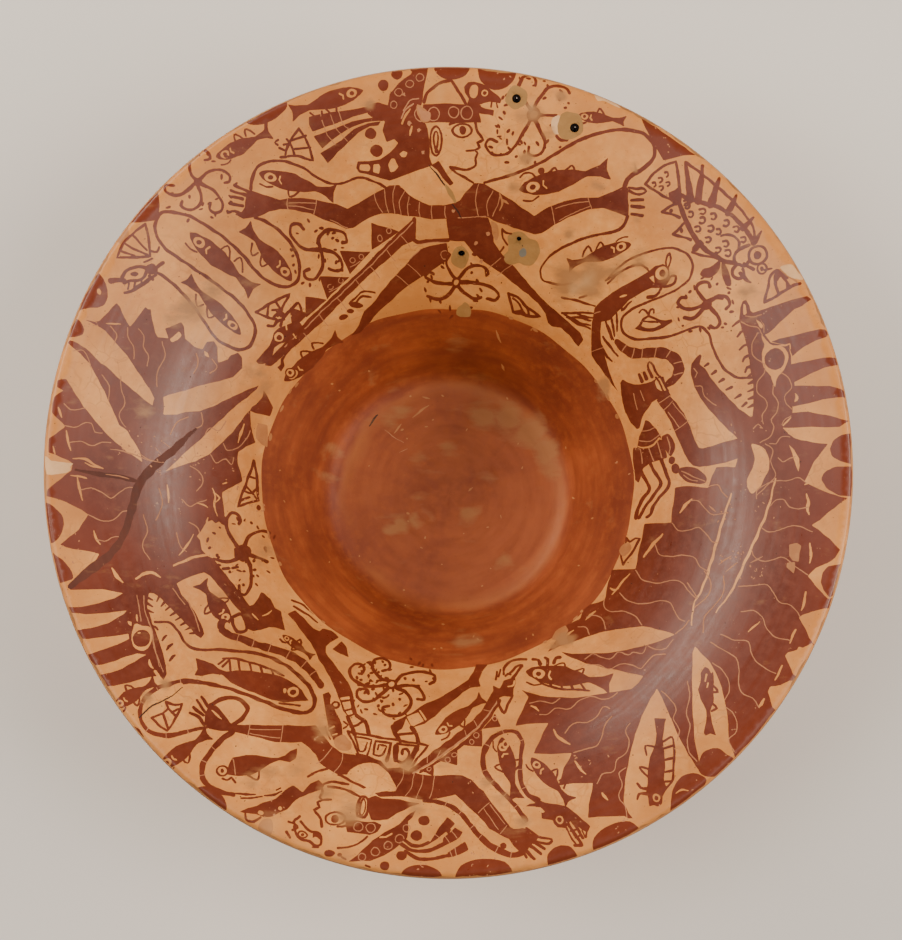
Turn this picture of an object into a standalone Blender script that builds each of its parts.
"""A broad ceramic platter on a flat base: a deep cup that flares out into a wide rim, with four lacing holes.

Metres, +Z up. The origin is the centre of the flat underside, so the platter stands on z = 0.
"""

import math

import bpy
from mathutils import Matrix, Vector

# Driving dimensions of the hand-built form.
RIM_RADIUS = 0.200
HEIGHT = 0.134
FLOOR_RADIUS = 0.054
FLOOR_THICKNESS = 0.010
FLOOR_CORNER = 0.014
RIM_WALL = 0.0065
CUP_WALL = 0.0090
HEEL_RADIUS = 0.008

# The flare, as the slope of the inner face at its two ends and how far each slope carries.
RIM_SLOPE = math.radians(18)
CUP_SLOPE = math.radians(62)
RIM_SWEEP = 0.078
CUP_SWEEP = 0.052

# Holes drilled on either side of an old crack, to lace it shut: plan place, throat and countersink.
LACING_HOLES = {
    "rim_left": {"place": (0.0340, 0.1837), "throat": 0.0022, "dish": 0.0052},
    "rim_right": {"place": (0.0630, 0.1694), "throat": 0.0023, "dish": 0.0050},
    "cup_left": {"place": (0.0066, 0.1133), "throat": 0.0017, "dish": 0.0044},
    "cup_right": {"place": (0.0355, 0.1190), "throat": 0.0012, "dish": 0.0032},
}
DISH_DEPTH = 0.0022
HOLE_SIDES = 16

# Facets.
TURNS = 80
FLARE_STEPS = 16
CORNER_STEPS = 4
LIP_STEPS = 6
MERGE = 0.0001
CUTTER_MARGIN = 0.004


def clear_scene():
    for obj in list(bpy.data.objects):
        bpy.data.objects.remove(obj)


def new_collection(name):
    collection = bpy.data.collections.new(name)
    bpy.context.scene.collection.children.link(collection)
    return collection


def along(angle):
    """Unit vector in the (radius, height) plane, at an angle above level."""
    return Vector((math.cos(angle), math.sin(angle)))


def across(angle):
    """Unit vector square to along(angle), pointing out of the inner face."""
    return Vector((-math.sin(angle), math.cos(angle)))


def arc(centre, radius, start, end, steps):
    """Points on an arc, both ends included."""
    angles = [start + (end - start) * k / steps for k in range(steps + 1)]
    return [centre + along(angle) * radius for angle in angles]


def flare_ends():
    """Where the flare leaves the floor's corner and where it meets the lip."""
    corner_centre = Vector((FLOOR_RADIUS, FLOOR_THICKNESS + FLOOR_CORNER))
    foot = corner_centre - across(CUP_SLOPE) * FLOOR_CORNER
    lip_centre = Vector((RIM_RADIUS - RIM_WALL / 2, HEIGHT - RIM_WALL / 2))
    top = lip_centre + across(RIM_SLOPE) * (RIM_WALL / 2)
    return corner_centre, foot, lip_centre, top


def flare_at(share):
    """Point and slope of the inner face, from the foot of the cup (0) to the lip (1)."""
    _, foot, _, top = flare_ends()
    low = foot + along(CUP_SLOPE) * CUP_SWEEP
    high = top - along(RIM_SLOPE) * RIM_SWEEP
    rest = 1 - share
    point = foot * rest**3 + low * (3 * rest**2 * share) + high * (3 * rest * share**2) + top * share**3
    run = (low - foot) * rest**2 + (high - low) * (2 * rest * share) + (top - high) * share**2
    return point, math.atan2(run.y, run.x)


def wall_at(share):
    return CUP_WALL + (RIM_WALL - CUP_WALL) * share


def inner_profile():
    """The face that is seen from above, from the axis out to the lip."""
    corner_centre, _, _, _ = flare_ends()
    level = -math.pi / 2
    corner = arc(corner_centre, FLOOR_CORNER, level, level + CUP_SLOPE, CORNER_STEPS)
    flare = [flare_at(k / FLARE_STEPS)[0] for k in range(1, FLARE_STEPS + 1)]
    return [Vector((0, FLOOR_THICKNESS))] + corner + flare


def lip_profile():
    """The rounded edge between the two faces, without its ends."""
    _, _, lip_centre, _ = flare_ends()
    start = RIM_SLOPE + math.pi / 2
    return arc(lip_centre, RIM_WALL / 2, start, start - math.pi, LIP_STEPS)[1:-1]


def outer_profile():
    """The underside, from the lip down to the heel and in to the axis."""
    face = []
    for k in range(FLARE_STEPS, -1, -1):
        point, slope = flare_at(k / FLARE_STEPS)
        face.append(point - across(slope) * wall_at(k / FLARE_STEPS))
    last = face[-1]
    drop = (last.y - HEEL_RADIUS * (1 - math.cos(CUP_SLOPE))) / math.sin(CUP_SLOPE)
    heel_start = last - along(CUP_SLOPE) * drop
    heel_centre = heel_start + across(CUP_SLOPE) * HEEL_RADIUS
    level = -math.pi / 2
    heel = arc(heel_centre, HEEL_RADIUS, level + CUP_SLOPE, level, CORNER_STEPS)
    return face + heel + [Vector((0, 0))]


def turned(name, profile, turns, collection):
    """A solid of revolution about Z, applied to a plain mesh."""
    guide_mesh = bpy.data.meshes.new(name + "_profile")
    edges = [(k, k + 1) for k in range(len(profile) - 1)]
    guide_mesh.from_pydata([(p.x, 0, p.y) for p in profile], edges, [])
    guide = bpy.data.objects.new(name + "_profile", guide_mesh)
    collection.objects.link(guide)
    screw = guide.modifiers.new("turn", "SCREW")
    screw.axis = "Z"
    screw.steps = turns
    screw.render_steps = turns
    screw.use_merge_vertices = True
    screw.merge_threshold = MERGE
    graph = bpy.context.evaluated_depsgraph_get()
    mesh = bpy.data.meshes.new_from_object(guide.evaluated_get(graph))
    bpy.data.objects.remove(guide)
    mesh.name = name
    obj = bpy.data.objects.new(name, mesh)
    collection.objects.link(obj)
    return obj


def face_under(place):
    """Point of the inner face under a plan place, and its outward normal."""
    radius = math.hypot(*place)
    low, high = 0.0, 1.0
    for _ in range(40):
        middle = (low + high) / 2
        if flare_at(middle)[0].x < radius:
            low = middle
        else:
            high = middle
    point, slope = flare_at(low)
    outward = Vector((place[0] / radius, place[1] / radius, 0))
    normal = outward * across(slope).x + Vector((0, 0, across(slope).y))
    return outward * point.x + Vector((0, 0, point.y)), normal, wall_at(low)


def drill(obj, name, hole, collection):
    """One lacing hole: a straight throat through the wall and a countersink on the painted face."""
    surface, normal, wall = face_under(hole["place"])
    mouth = hole["dish"] + (hole["dish"] - hole["throat"]) / DISH_DEPTH * CUTTER_MARGIN
    drill_bit = [
        Vector((0, CUTTER_MARGIN)),
        Vector((mouth, CUTTER_MARGIN)),
        Vector((hole["throat"], -DISH_DEPTH)),
        Vector((hole["throat"], -wall - CUTTER_MARGIN)),
        Vector((0, -wall - CUTTER_MARGIN)),
    ]
    cutter = turned(name + "_drill", drill_bit, HOLE_SIDES, collection)
    turn = normal.to_track_quat("Z", "Y").to_matrix().to_4x4()
    cutter.matrix_world = Matrix.Translation(surface) @ turn
    cutter.hide_render = True
    cutter.display_type = "WIRE"
    cut = obj.modifiers.new(cutter.name, "BOOLEAN")
    cut.operation = "DIFFERENCE"
    cut.solver = "EXACT"
    cut.object = cutter


def fired_clay():
    """Burnished slip over fired clay, seen as one warm colour."""
    material = bpy.data.materials.new("slip_painted_earthenware")
    material.use_nodes = True
    shader = material.node_tree.nodes["Principled BSDF"]
    shader.inputs["Base Color"].default_value = (0.60, 0.30, 0.12, 1)
    shader.inputs["Roughness"].default_value = 0.42
    shader.inputs["Metallic"].default_value = 0.0
    return material


def main():
    clear_scene()
    parts = new_collection("ceramic_platter")
    cutters = new_collection("cutters")
    profile = inner_profile() + lip_profile() + outer_profile()
    platter = turned("platter", profile, TURNS, parts)
    for name, hole in LACING_HOLES.items():
        drill(platter, name, hole, cutters)
    platter.data.materials.append(fired_clay())
    platter.data.shade_smooth()


main()
